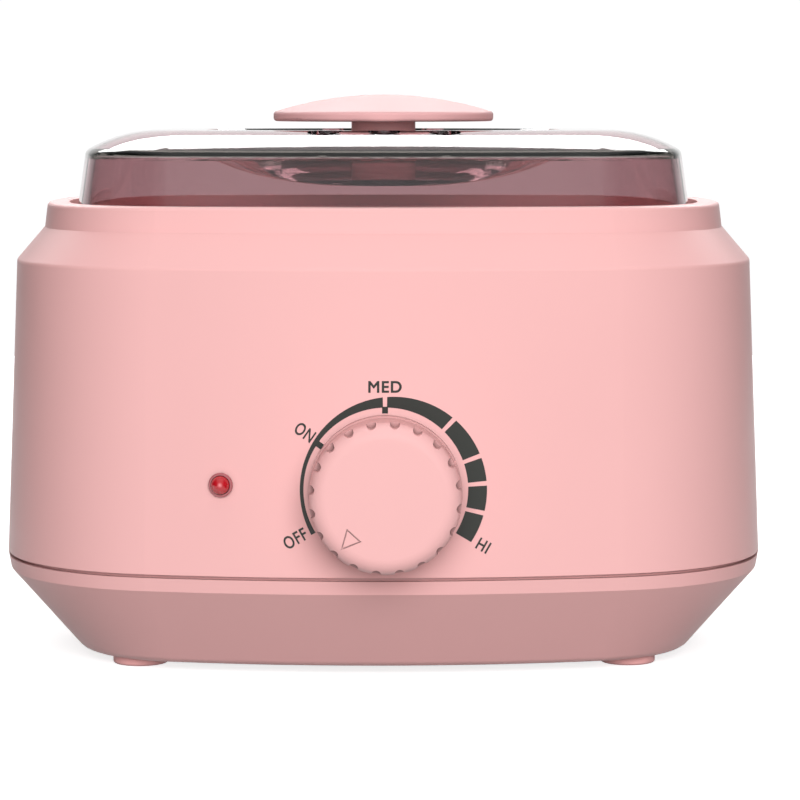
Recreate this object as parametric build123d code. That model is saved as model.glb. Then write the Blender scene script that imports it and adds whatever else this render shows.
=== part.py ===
"""Countertop wax warmer: an oval plastic housing with a dial, a heated well, a lift-out
aluminium pot with a bail handle, and a transparent lid with a round handle.

Millimetres, +Z up, the feet stand on z = 0 and the dial faces -Y. Pieces are built around
the housing's own axis and moved back by HOUSING_Y when they are written, so that the origin
is under the centre of the whole object's box.
"""
from build123d import *
import math
import os

# ---- housing plan: three tangent arcs per quarter, at the seam ------------------------------
HALF_W = 100.0          # half the width
HALF_D = 73.0           # half the depth
FRONT_R = 256.0         # bow of the front and back
SIDE_R = 137.0          # bow of the sides
CORNER_R = 50.0         # corner radius

# ---- housing levels (height, and how far the outline is set in from the plan) ---------------
FOOT_H = 2.2            # feet show below the base plate
BASE_IN = 19.1          # base plate's edge, before it is rounded
BELT_Z = 23.4           # skirt meets the belt
BELT_IN = 0.6
SEAM_LOW_Z = 26.8       # top of the lower housing's outer wall
SEAM_GAP = 0.9          # shadow gap between the housings
WALL_TOP_Z = 103.7      # wall meets the shoulder
WALL_TOP_IN = 3.04
RIM_Z = WALL_TOP_Z + 8.6        # shoulder meets the rim
RIM_IN = 10.4
RIM_TOP_Z = RIM_Z + 6.4
RIM_TOP_IN = 11.2
SHELL = 2.8             # housing wall
BASE_EDGE_R = 4.2       # rounding under the skirt
CREASE_R = 1.2          # rounding of the outside creases

# ---- mouth of the upper housing --------------------------------------------------------------
RIM_BORE_IN = 16.8      # inside of the rim
LEDGE_Z = RIM_TOP_Z - 3.2       # the lid stands on this ledge
RECESS_IN = 21.0        # inside of the ledge
DECK_Z = LEDGE_Z - 7.5          # deck around the well
DECK_T = 2.5

# ---- tongue that lines the two housings up ------------------------------------------------------
TONGUE_H = 3.2          # above the lower housing's outer wall
TONGUE_IN = 1.7         # its outside, set in: the depth of the shadow gap
FIT = 0.1               # clearance between plastic parts that slide together

# ---- feet, posts and base screws --------------------------------------------------------------
FOOT_X, FOOT_Y = HALF_W - 36.8, HALF_D - 39.8
FOOT_R = 7.15
FOOT_SEAT = 0.6         # recess in the base plate
POST_R = 6.2
POST_TOP_Z = 14.0       # base posts meet the upper housing's bosses
BOSS_R = 4.4
SCREW_R = 1.75          # base screw's thread
SCREW_HEAD_R = 3.3
SCREW_HEAD_H = 2.2
SCREW_LEN = 20.0
SCREW_SEAT_Z = 8.4      # head bears here, inside the post
SCREW_PLAY = 0.05       # screw in its moulded hole
HEAD_PLAY = 0.4         # head in its counterbore
VENT_W, VENT_L, VENT_PITCH = 3.0, 26.0, 8.0
VENT_COUNT = 7

# ---- heated well -----------------------------------------------------------------------------
POT_R = 46.0            # outside of the pot's wall
POT_WALL = 1.2
POT_FLANGE_R = POT_R + 4.0
POT_FLANGE_T = 1.2
POT_DEPTH = 62.0        # from the flange's underside to the bottom
POT_BOTTOM_R = 6.0
WELL_GAP = 0.5          # around and under the pot
WELL_WALL = 1.0
WELL_FLANGE_T = 1.0
WELL_FLANGE_R = POT_FLANGE_R + 1.0
WELL_EAR_X = WELL_FLANGE_R + 11.0       # end of the two fixing ears
WELL_EAR_HALF = 12.0
WELL_EAR_R = 4.0
WELL_SCREW_X, WELL_SCREW_Y = WELL_FLANGE_R + 6.5, 7.0
WELL_SCREW_R = 1.45
WELL_SCREW_LEN = 9.0
WELL_SCREW_HEAD_R, WELL_SCREW_HEAD_H = 2.7, 1.7
WELL_BOSS_R, WELL_BOSS_H = 3.4, 9.0

# ---- bail handle and its lugs on the pot --------------------------------------------------------
BAIL_R = 1.3            # wire
BAIL_HOLE_PLAY = 0.1
BAIL_REACH = POT_R + 4.0        # pivot to the wire's centre line at the far side
BAIL_HALF = POT_R - 2.0         # half the span between the legs
BAIL_BEND = 3.0         # radius of the bend from each end into its leg
BAIL_END = 3.5          # how far the wire stands out of its lug
LUG_X, LUG_T = POT_R + 1.4, 1.6
LUG_HALF, LUG_H, LUG_TOP_R = 4.2, 5.2, 2.5
BAIL_LIFT = 0.3         # gap between the wire and the flange it lies over

# ---- heater, insulation, fuse ------------------------------------------------------------------
BAND_GAP = 0.1          # band on the well
BAND_T = 1.8
BAND_Z0, BAND_H = DECK_Z - 42.0, 30.0
BAND_SLIT = 8.0
BAND_EAR_T, BAND_EAR_L = 1.2, 11.0
BAND_EAR_IN = 8.0       # the ears stop this far short of the band's edges
BAND_SCREW_IN = 4.0     # clamp screw, from the ears' ends
BAND_SCREW_R, BAND_SCREW_TAIL = 1.9, 4.5
BAND_HEAD_R, BAND_HEAD_H = 3.4, 2.4
BAND_NUT_R, BAND_NUT_H = 3.8, 3.0
WRAP_GAP = 0.2
WRAP_T = 4.0
WRAP_MARGIN = 3.0       # the wrap reaches past the band, above and below
WRAP_SLIT = 6.5         # its opening reaches this far past each ear
FUSE_R, FUSE_L = 2.0, 12.0
FUSE_Z = BAND_Z0 - 14.0
FUSE_ANGLE = 150.0
FUSE_LEAD_R, FUSE_LEADS = 0.5, 22.0
CLIP_T, CLIP_H, CLIP_FOOT = 0.8, 7.0, 4.5

# ---- lid ---------------------------------------------------------------------------------------
LID_IN = 18.75          # outline of the lid's foot
LID_WALL_TOP_Z = LEDGE_Z + 16.6
LID_WALL_TOP_IN = 21.2
LID_TOP_Z = LEDGE_Z + 22.0
LID_TOP_IN = 31.0       # where dome and flat top would meet unrounded
LID_DOME_R = 38.0
LID_EDGE_R = 2.3
LID_WALL = 2.0
DISH_FLOOR_Z = LID_TOP_Z - 11.0
DISH_FLOOR = (24.0, 13.0)       # half sizes of the dish, floor
DISH_MID = (33.0, 18.5)
DISH_MID_Z = LID_TOP_Z - 7.4
DISH_RIM = (47.0, 26.5)
BOWL_LEVELS = (                 # its underside: height, half sizes
    (DISH_FLOOR_Z - 3.9, 14.0, 7.5),
    (DISH_FLOOR_Z - 2.5, 27.0, 15.0),
    (DISH_FLOOR_Z + 0.3, 38.5, 21.5),
    (DISH_MID_Z, 46.6, 26.0),
)
SLOT_W, SLOT_L = 8.2, 12.0      # vent slots, front and back
SLOT_PITCH = 15.1
SLOT_Y = 35.0
SLOT_FAN = 12.0                 # the outer slots splay by this angle

# ---- lid handle -----------------------------------------------------------------------------------
HANDLE_R = 29.2
HANDLE_Z = LID_TOP_Z + 2.2      # underside of the disc
HANDLE_BAND = 2.4       # straight edge
HANDLE_TOP_Z = HANDLE_Z + 7.0
HANDLE_EDGE_R = 0.9
NECK_R = 8.5
NECK_FOOT_R = 10.8
NECK_FOOT_H = 1.4
HANDLE_SCREW_R = 1.9
HANDLE_SCREW_HEAD_R = 3.6
HANDLE_SCREW_HEAD_H = 2.4
HANDLE_SCREW_LEN = 12.0
HANDLE_SCREW_SEAT_Z = DISH_FLOOR_Z - 1.4        # its head is sunk in the dish's underside
HANDLE_SCREW_PLAY = 0.05

# ---- dial: thermostat, shaft, knob ------------------------------------------------------------------
DIAL_Z = 49.3
PAD_R = 13.0            # boss behind the panel that carries the thermostat
PAD_DEPTH = HALF_D - 6.5        # its flat face, measured from the housing's axis
SPOT_R = 9.2            # flat for the nut, hidden by the knob
SPOT_DEPTH = HALF_D - 1.8
BUSH_R = 5.0
BUSH_PLAY = 0.06
BUSH_END = SPOT_DEPTH + 4.0
NUT_R = 8.0             # across corners
NUT_T = 2.5
THERMO_PLATE = (26.0, 34.0, 1.2)    # width, height, thickness
THERMO_R, THERMO_T = 14.0, 9.5
THERMO_TAB = (6.3, 9.0, 0.8)
THERMO_TAB_X = 7.0
SHAFT_R = 3.0
SHAFT_PLAY = 0.05
SHAFT_FLAT = 1.6        # the D flat's distance from the axis
SHAFT_END = BUSH_END + 11.8
INSERT_R = 4.6
INSERT_START = BUSH_END + 3.8
KNOB_R = 18.6
KNOB_BACK = HALF_D + 0.4
KNOB_FACE = KNOB_BACK + 18.2
KNOB_RING_R, KNOB_RING_END = KNOB_R + 0.4, KNOB_BACK + 3.6      # plain ring at its back
KNOB_EDGE_R = 4.0
KNOB_WALL = 2.6
KNOB_FACE_T = 3.2
KNOB_HUB_R = 7.0
KNOB_BORE_R = 9.5       # clears the nut
KNOB_BORE_DEPTH = KNOB_BACK + 4.6
NOTCH_COUNT = 20
NOTCH_R = 1.2
NOTCH_FLOOR = KNOB_R - 1.3      # how near the axis a notch reaches
NOTCH_START = KNOB_FACE - 5.8   # the notches are cut in the front edge only
NOTCH_PHASE = 7.2       # first notch, clockwise from the top at rest
POINTER_ANGLE = -138.0  # clockwise from the top, at rest
POINTER_TIP, POINTER_BACK = KNOB_R - 2.4, KNOB_R - 7.3
POINTER_HALF = 2.4
POINTER_LINE, POINTER_DEEP = 0.34, 0.45

# ---- pilot light ------------------------------------------------------------------------------------
LAMP_X, LAMP_Z = -40.6, 50.5
LAMP_FLANGE_R, LAMP_FLANGE_T = 3.05, 0.9
LAMP_FLANGE_GAP = 0.15          # flat flange in front of the bowed panel
LAMP_BARREL_R = 2.75
LAMP_BARREL_END = -5.0          # behind the panel's face
LAMP_R = 2.35                   # lens
LAMP_DOME = 0.9                 # the lens's straight part stands this far out of the panel
LAMP_BOARD = (12.0, 1.6, 16.0)      # width, thickness, height
RESISTOR_R, RESISTOR_L = 1.2, 6.5
LAMP_PLAY = 0.1

# ---- power inlet and terminal block -------------------------------------------------------------------
INLET_Z = 46.0
INLET_FLANGE = (25.0, 17.0, 2.0)
INLET_BODY = (20.4, 12.6)
INLET_SEAT = HALF_D - 1.6
INLET_END = INLET_SEAT - 15.4
INLET_WELL = (16.4, 8.8, 12.0)      # the socket's pocket
INLET_PIN_R, INLET_PIN_PITCH, INLET_PIN_L = 1.2, 8.6, 9.0
INLET_TAB = (4.8, 7.0, 0.8)
BLOCK = (22.0, 11.0, 12.0)
BLOCK_Y = INLET_END - 22.0
BLOCK_SCREW_R = 1.9

# ---- worked out ---------------------------------------------------------------------------------------
SEAM_TOP_Z = SEAM_LOW_Z + SEAM_GAP
BASE_TOP_Z = FOOT_H + 2.6
DECK_LOW_Z = DECK_Z - DECK_T
SKIRT_SHELL = SHELL / math.cos(math.atan((BASE_IN - BELT_IN) / (BELT_Z - FOOT_H)))
WELL_R = POT_R + WELL_GAP
WELL_OUT_R = WELL_R + WELL_WALL
POT_SEAT_Z = DECK_Z + WELL_FLANGE_T
POT_LIP_Z = POT_SEAT_Z + POT_FLANGE_T
POT_LOW_Z = POT_SEAT_Z - POT_DEPTH
BAIL_Z = POT_LIP_Z + BAIL_LIFT + BAIL_R
BAND_R = WELL_OUT_R + BAND_GAP
HOUSING_Y = (KNOB_FACE - max(HALF_D, INLET_SEAT + INLET_FLANGE[2])) / 2
ROOM = 400.0            # larger than the object, for cutting tools


# ================================= helpers =================================
def corner():
    """Centre of the corner arc in the right back quarter, and the angles where it ends."""
    front_c = Vector(0, HALF_D - FRONT_R)
    side_c = Vector(HALF_W - SIDE_R, 0)
    to_front = FRONT_R - CORNER_R
    to_side = SIDE_R - CORNER_R
    apart = (side_c - front_c).length
    reach = (to_front ** 2 - to_side ** 2 + apart ** 2) / (2 * apart)
    off = math.sqrt(to_front ** 2 - reach ** 2)
    unit = (side_c - front_c).normalized()
    centre = front_c + unit * reach + Vector(unit.Y, -unit.X) * off
    front_angle = math.degrees(math.atan2(centre.Y - front_c.Y, centre.X))
    side_angle = math.degrees(math.atan2(centre.Y, centre.X - side_c.X))
    return centre, front_angle, side_angle


def outline(inset, z=0.0):
    """The housing's plan as a face at height z, set in by inset."""
    centre, front_angle, side_angle = corner()
    front_y = HALF_D - FRONT_R
    side_x = HALF_W - SIDE_R
    turn = front_angle - side_angle
    arcs = []
    for side in (1, -1):
        half_turn = 0 if side > 0 else 180
        at = Vector(side * side_x, 0)
        arcs.append(CenterArc(at, SIDE_R - inset, half_turn - side_angle, 2 * side_angle))
        at = Vector(side * centre.X, side * centre.Y)
        arcs.append(CenterArc(at, CORNER_R - inset, half_turn + side_angle, turn))
        at = Vector(0, side * front_y)
        arcs.append(CenterArc(at, FRONT_R - inset, half_turn + front_angle, 180 - 2 * front_angle))
        at = Vector(-side * centre.X, side * centre.Y)
        arcs.append(CenterArc(at, CORNER_R - inset, half_turn + 180 - front_angle, turn))
    return Pos(0, 0, z) * Face(Wire(arcs))


def slab(inset_low, z_low, inset_high, z_high):
    """A solid between two levels of the housing's plan, with straight sloping sides."""
    return loft([outline(inset_low, z_low), outline(inset_high, z_high)], ruled=True)


def stack(*levels):
    """Slabs through a list of (inset, z), as one solid."""
    solid = None
    for (low_in, low_z), (high_in, high_z) in zip(levels, levels[1:]):
        piece = slab(low_in, low_z, high_in, high_z)
        solid = piece if solid is None else solid + piece
    return solid


def edges_at(solid, z, tolerance=0.02):
    """Edges that lie flat at height z."""
    found = []
    for edge in solid.edges():
        box = edge.bounding_box()
        if abs(box.min.Z - z) < tolerance and abs(box.max.Z - z) < tolerance:
            found.append(edge)
    return found


def along(radius, start, end):
    """A cylinder on Z between two heights, or along the dial's axis before it is turned to the front."""
    base = Align.CENTER, Align.CENTER, Align.MIN
    return Pos(0, 0, start) * Cylinder(radius, end - start, align=base)


def rod(x, y, z_low, z_high, radius):
    """A vertical cylinder."""
    return Pos(x, y, 0) * along(radius, z_low, z_high)


def block(x0, x1, y0, y1, z0, z1):
    """A box between two corners."""
    base = Align.MIN, Align.MIN, Align.MIN
    return Pos(x0, y0, z0) * Box(x1 - x0, y1 - y0, z1 - z0, align=base)


def turned(profile):
    """A solid of revolution about Z from (radius, height) points."""
    points = [(r, 0, h) for r, h in profile]
    return revolve(Face(Wire.make_polygon(points, close=True)), Axis.Z)


def to_front(solid):
    """Turn a solid built along +Z so that +Z becomes -Y, out of the front panel."""
    return Rot(90, 0, 0) * solid


def on_dial(solid):
    """Place a solid built along +Z on the dial's axis, measured from the housing's axis."""
    return Pos(0, 0, DIAL_Z) * to_front(solid)


def four_corners(x, y):
    """The four places mirrored about both planes."""
    return [(sx * x, sy * y) for sx in (-1, 1) for sy in (-1, 1)]


def wall_inset(z):
    """How far the upper housing's outer wall is set in at height z."""
    return WALL_TOP_IN * (z - SEAM_TOP_Z) / (WALL_TOP_Z - SEAM_TOP_Z)


def front_depth(x, z):
    """Distance of the front panel's face from the housing's axis plane at x, z."""
    radius = FRONT_R - wall_inset(z)
    return math.sqrt(radius ** 2 - x ** 2) - (FRONT_R - HALF_D)


def save(name, *solids):
    """Write one node, moved into the object's frame."""
    flat = []
    for solid in solids:
        flat.extend(solid.solids())
    moved = [Pos(0, HOUSING_Y, 0) * solid for solid in flat]
    shape = moved[0] if len(moved) == 1 else Compound(children=moved)
    export_step(shape, f"parts/{name}.step")


def cross_screw(x, y, seat_z, radius, length, head_r, head_h, upward=True):
    """A cross-headed screw: pointed shank from its seat, head on the other side."""
    point, edge, crown = 0.3 * radius, 0.45 * head_h, 0.62 * head_r
    shank = turned([(0, 0), (radius, 0), (radius, length - radius), (point, length), (0, length)])
    head = turned([(0, 0), (head_r, 0), (head_r, -edge), (crown, -head_h), (0, -head_h)])
    arm_l, arm_w = 1.2 * head_r, 0.28 * head_r
    cross = Box(arm_l, arm_w, head_h) + Box(arm_w, arm_l, head_h)
    screw = shank + head - Pos(0, 0, -head_h) * cross
    if not upward:
        screw = Rot(180, 0, 0) * screw
    return Pos(x, y, seat_z) * screw


def lamp_place(solid):
    """Place a solid built along +Z on the pilot light's axis, z = 0 on the panel's face."""
    radius = FRONT_R - wall_inset(LAMP_Z)
    tilt = math.degrees(math.asin(LAMP_X / radius))
    depth = front_depth(LAMP_X, LAMP_Z)
    return Pos(LAMP_X, -depth, LAMP_Z) * Rot(0, 0, tilt) * to_front(solid)


# ================================= housings =================================
def upper_housing():
    body = stack((0, SEAM_TOP_Z), (WALL_TOP_IN, WALL_TOP_Z), (RIM_IN, RIM_Z), (RIM_TOP_IN, RIM_TOP_Z))
    body = fillet(edges_at(body, WALL_TOP_Z), CREASE_R)
    body = fillet(edges_at(body, RIM_TOP_Z), CREASE_R)
    slope_in = wall_inset(DECK_LOW_Z)
    cap_in = SHELL + slope_in + (RIM_IN - WALL_TOP_IN) * (DECK_LOW_Z - WALL_TOP_Z) / (RIM_Z - WALL_TOP_Z)
    wall_top = SHELL + WALL_TOP_IN, WALL_TOP_Z - SHELL / 2
    body -= stack((SHELL, SEAM_TOP_Z - 1), wall_top, (cap_in, DECK_LOW_Z))
    # hollow under the rim, outside the recess
    ring_top = LEDGE_Z - SHELL
    ring = slab(cap_in, DECK_LOW_Z - 0.5, RIM_IN + SHELL, ring_top)
    ring -= slab(RECESS_IN - SHELL, DECK_LOW_Z - 1, RECESS_IN - SHELL, ring_top + 1)
    body -= ring
    # mouth: rim bore, ledge, recess down to the deck
    body -= slab(RIM_BORE_IN, LEDGE_Z, RIM_BORE_IN, RIM_TOP_Z + 1)
    body -= slab(RECESS_IN, DECK_Z, RECESS_IN, LEDGE_Z + 1)
    body -= rod(0, 0, DECK_LOW_Z - 1, DECK_Z + 1, WELL_OUT_R + WELL_GAP)
    # rebate for the lower housing's tongue
    rebate_top = SEAM_LOW_Z + TONGUE_H + FIT
    body -= slab(TONGUE_IN - FIT, SEAM_TOP_Z - 1, TONGUE_IN - FIT, rebate_top)
    # bosses for the base screws, and for the well's screws
    for x, y in four_corners(FOOT_X, FOOT_Y):
        body += rod(x, y, POST_TOP_Z, DECK_LOW_Z + 0.5, BOSS_R)
        body -= rod(x, y, POST_TOP_Z - 1, SCREW_SEAT_Z + SCREW_LEN + 2, SCREW_R + SCREW_PLAY)
    for x, y in four_corners(WELL_SCREW_X, WELL_SCREW_Y):
        body += rod(x, y, DECK_LOW_Z - WELL_BOSS_H, DECK_LOW_Z + 0.5, WELL_BOSS_R)
        hole_low = POT_SEAT_Z - WELL_SCREW_LEN - 1
        body -= rod(x, y, hole_low, DECK_Z + 1, WELL_SCREW_R + SCREW_PLAY)
    # thermostat pad, its flat and its hole
    body += on_dial(along(PAD_R, PAD_DEPTH, SPOT_DEPTH))
    body -= on_dial(along(SPOT_R, SPOT_DEPTH, HALF_D + 5))
    body -= on_dial(along(BUSH_R + BUSH_PLAY, PAD_DEPTH - 5, HALF_D + 5))
    # pilot light hole
    body -= lamp_place(Cylinder(LAMP_BARREL_R + LAMP_PLAY, 24))
    # inlet cut-out and the flat its flange sits in
    half_w, half_h = INLET_FLANGE[0] / 2 + FIT, INLET_FLANGE[1] / 2 + FIT
    body -= block(-half_w, half_w, INLET_SEAT, ROOM / 4, INLET_Z - half_h, INLET_Z + half_h)
    half_w, half_h = INLET_BODY[0] / 2 + FIT, INLET_BODY[1] / 2 + FIT
    body -= block(-half_w, half_w, HALF_D - 12, HALF_D, INLET_Z - half_h, INLET_Z + half_h)
    return body


def lower_housing():
    body = stack((BASE_IN, FOOT_H), (BELT_IN, BELT_Z), (0, SEAM_LOW_Z))
    body = fillet(edges_at(body, FOOT_H), BASE_EDGE_R)
    floor_in = BASE_IN - (BASE_TOP_Z - FOOT_H) * (BASE_IN - BELT_IN) / (BELT_Z - FOOT_H) + SKIRT_SHELL
    body -= stack((floor_in, BASE_TOP_Z), (BELT_IN + SKIRT_SHELL, BELT_Z - 1), (SHELL, SEAM_LOW_Z + 1))
    tongue = slab(TONGUE_IN, SEAM_LOW_Z - 1, TONGUE_IN, SEAM_LOW_Z + TONGUE_H)
    tongue -= slab(SHELL, SEAM_LOW_Z - 2, SHELL, SEAM_LOW_Z + TONGUE_H + 1)
    body += tongue
    for x, y in four_corners(FOOT_X, FOOT_Y):
        body += rod(x, y, BASE_TOP_Z - 1, POST_TOP_Z, POST_R)
        body -= rod(x, y, FOOT_H - 1, SCREW_SEAT_Z, SCREW_HEAD_R + HEAD_PLAY)
        body -= rod(x, y, FOOT_H, POST_TOP_Z + 1, SCREW_R + SCREW_PLAY)
        body -= rod(x, y, 0, FOOT_H + FOOT_SEAT, FOOT_R + FIT)
    for index in range(VENT_COUNT):
        x = (index - (VENT_COUNT - 1) / 2) * VENT_PITCH
        slot = extrude(SlotOverall(VENT_L, VENT_W, rotation=90), 10, both=True)
        body -= Pos(x, -BLOCK_Y / 4, FOOT_H) * slot
    return body


def feet():
    pads = []
    for x, y in four_corners(FOOT_X, FOOT_Y):
        pad = rod(x, y, 0, FOOT_H + FOOT_SEAT, FOOT_R)
        pad = fillet(edges_at(pad, 0), 0.6)
        pad -= rod(x, y, -1, FOOT_H + 1, SCREW_HEAD_R + HEAD_PLAY)
        pads.append(pad)
    return pads


def base_screws():
    size = SCREW_R, SCREW_LEN, SCREW_HEAD_R, SCREW_HEAD_H
    return [cross_screw(x, y, SCREW_SEAT_Z, *size) for x, y in four_corners(FOOT_X, FOOT_Y)]


# ================================= well, pot and heater =================================
def cup(radius, wall, seat_z, low_z, bottom_r, flange_r, flange_t):
    """A spun cup: round wall, rounded bottom, flange outwards at the mouth."""
    outer = rod(0, 0, low_z, seat_z + flange_t, radius)
    outer = fillet(edges_at(outer, low_z), bottom_r)
    inner = rod(0, 0, low_z + wall, seat_z + flange_t + 1, radius - wall)
    inner = fillet(edges_at(inner, low_z + wall), bottom_r - wall)
    return outer + rod(0, 0, seat_z, seat_z + flange_t, flange_r) - inner


def heating_well():
    low = POT_LOW_Z - WELL_GAP - WELL_WALL
    bottom_r = POT_BOTTOM_R + WELL_GAP + WELL_WALL
    well = cup(WELL_OUT_R, WELL_WALL, DECK_Z, low, bottom_r, WELL_FLANGE_R, WELL_FLANGE_T)
    ears = block(-WELL_EAR_X, WELL_EAR_X, -WELL_EAR_HALF, WELL_EAR_HALF, DECK_Z, POT_SEAT_Z)
    ears = fillet(ears.edges().filter_by(Axis.Z), WELL_EAR_R)
    well += ears - rod(0, 0, DECK_Z - 1, POT_SEAT_Z + 1, WELL_R)
    for x, y in four_corners(WELL_SCREW_X, WELL_SCREW_Y):
        well -= rod(x, y, DECK_Z - 1, POT_SEAT_Z + 1, WELL_SCREW_R + SCREW_PLAY)
    return well


def well_screws():
    size = WELL_SCREW_R, WELL_SCREW_LEN, WELL_SCREW_HEAD_R, WELL_SCREW_HEAD_H
    places = four_corners(WELL_SCREW_X, WELL_SCREW_Y)
    return [cross_screw(x, y, POT_SEAT_Z, *size, upward=False) for x, y in places]


def wax_pot():
    pot = cup(POT_R, POT_WALL, POT_SEAT_Z, POT_LOW_Z, POT_BOTTOM_R, POT_FLANGE_R, POT_FLANGE_T)
    for side in (-1, 1):
        x0, x1 = sorted((side * LUG_X, side * (LUG_X + LUG_T)))
        lug = block(x0, x1, -LUG_HALF, LUG_HALF, POT_SEAT_Z + 0.2, POT_LIP_Z + LUG_H)
        top = lug.edges().filter_by(Axis.X).group_by(Axis.Z)[-1]
        lug = fillet(top, LUG_TOP_R)
        lug -= Pos(0, 0, BAIL_Z) * Rot(0, 90, 0) * Cylinder(BAIL_R + BAIL_HOLE_PLAY, ROOM)
        pot += lug
    return pot


def pot_bail():
    """Bail wire lying over the pot's back edge, its ends through the lugs."""
    end_x = LUG_X + LUG_T + BAIL_END
    bend_x = BAIL_HALF + BAIL_BEND
    bend_mid = BAIL_BEND * (1 - math.sin(math.radians(45)))
    leg_y = BAIL_REACH - BAIL_HALF
    path = []
    for side in (1, -1):
        bend_start = Vector(side * bend_x, 0)
        middle = Vector(side * (BAIL_HALF + bend_mid), bend_mid)
        bend_end = Vector(side * BAIL_HALF, BAIL_BEND)
        path.append(Line((side * end_x, 0), bend_start))
        path.append(ThreePointArc(bend_start, middle, bend_end))
        path.append(Line(bend_end, (side * BAIL_HALF, leg_y)))
    path.append(ThreePointArc((BAIL_HALF, leg_y), (0, BAIL_REACH), (-BAIL_HALF, leg_y)))
    wire = Pos(0, 0, BAIL_Z) * Wire(path)
    start = Plane(origin=(end_x, 0, BAIL_Z), z_dir=(-1, 0, 0))
    return sweep(start * Circle(BAIL_R), path=wire)


def across_ears(solid):
    """Place a solid built along +Z across the band's two ears."""
    at = Pos(0, BAND_R + BAND_EAR_L - BAND_SCREW_IN, BAND_Z0 + BAND_H / 2)
    return at * Rot(0, 90, 0) * solid


def heater_band():
    """Mica band heater: a split ring with two clamping ears at the back."""
    outer_r = BAND_R + BAND_T
    top = BAND_Z0 + BAND_H
    band = rod(0, 0, BAND_Z0, top, outer_r)
    half = BAND_SLIT / 2
    for side in (-1, 1):
        x0, x1 = sorted((side * half, side * (half + BAND_EAR_T)))
        low = BAND_Z0 + BAND_EAR_IN
        band += block(x0, x1, BAND_R + BAND_T / 2, BAND_R + BAND_EAR_L, low, top - BAND_EAR_IN)
    band -= rod(0, 0, BAND_Z0 - 1, top + 1, BAND_R)
    band -= block(-half, half, 0, BAND_R + ROOM / 8, BAND_Z0 - 1, top + 1)
    return band - across_ears(Cylinder(BAND_SCREW_R + SCREW_PLAY, 3 * BAND_SLIT))


def band_screw():
    """Clamp screw across the band's ears, with its nut."""
    grip = BAND_SLIT / 2 + BAND_EAR_T
    head_low = -grip - BAND_HEAD_H
    shank = along(BAND_SCREW_R, -grip, grip + BAND_SCREW_TAIL)
    head = along(BAND_HEAD_R, head_low, -grip)
    head -= Pos(0, 0, head_low) * Box(1.5 * BAND_HEAD_R, 0.3 * BAND_HEAD_R, 0.75 * BAND_HEAD_H)
    nut = Pos(0, 0, grip) * extrude(RegularPolygon(BAND_NUT_R, 6), BAND_NUT_H)
    return across_ears(shank + head + nut)


def insulation_wrap():
    """Fibre blanket around the band, open at the back where the ears come through."""
    inner_r = BAND_R + BAND_T + WRAP_GAP
    low, top = BAND_Z0 - WRAP_MARGIN, BAND_Z0 + BAND_H + WRAP_MARGIN
    wrap = rod(0, 0, low, top, inner_r + WRAP_T) - rod(0, 0, low - 1, top + 1, inner_r)
    half = BAND_SLIT / 2 + BAND_EAR_T + WRAP_SLIT
    return wrap - block(-half, half, 0, ROOM, low - 1, top + 1)


def fuse_frame(solid):
    """Place a solid, built with +X pointing away from the well, on the well's wall."""
    return Pos(0, 0, FUSE_Z) * Rot(0, 0, FUSE_ANGLE) * Pos(WELL_OUT_R, 0, 0) * solid


def thermal_fuse():
    at = Pos(CLIP_FOOT, 0, 0)
    barrel = fillet(Cylinder(FUSE_R, FUSE_L).edges().filter_by(GeomType.CIRCLE), 0.4)
    leads = Cylinder(FUSE_LEAD_R, FUSE_LEADS)
    return fuse_frame(at * (barrel + leads))


def fuse_clip():
    """Steel saddle on a foot, spot-welded to the well, with the fuse in its loop."""
    outer_r = FUSE_R + FIT / 2 + CLIP_T
    foot = block(0.05, CLIP_FOOT - FUSE_R, -3.0, 3.0, -CLIP_H / 2, CLIP_H / 2)
    loop = Pos(CLIP_FOOT, 0, 0) * Cylinder(outer_r, CLIP_H)
    hole = Pos(CLIP_FOOT, 0, 0) * Cylinder(FUSE_R + FIT / 2, CLIP_H + 2)
    well_face = Pos(-WELL_OUT_R, 0, 0) * Cylinder(WELL_OUT_R, CLIP_H + 2)
    return fuse_frame(foot + loop - hole - well_face)


# ================================= lid and its handle =================================
def oval(half_x, half_y, z):
    """An ellipse as a face at height z."""
    return Pos(0, 0, z) * Ellipse(half_x, half_y).face()


def lid_form(shrink):
    """The lid's outer form, or its inside when shrunk by the wall."""
    foot_z = LEDGE_Z - (1 if shrink else 0)
    top_z = LID_TOP_Z - shrink
    wall_z = LID_WALL_TOP_Z - shrink * 0.75
    foot = LID_IN + shrink, foot_z
    form = stack(foot, (LID_WALL_TOP_IN + shrink, wall_z), (LID_TOP_IN + shrink * 0.9, top_z))
    form = fillet(edges_at(form, top_z), LID_DOME_R - shrink)
    return fillet(edges_at(form, wall_z), max(LID_EDGE_R - shrink / 2, 0.4))


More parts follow.
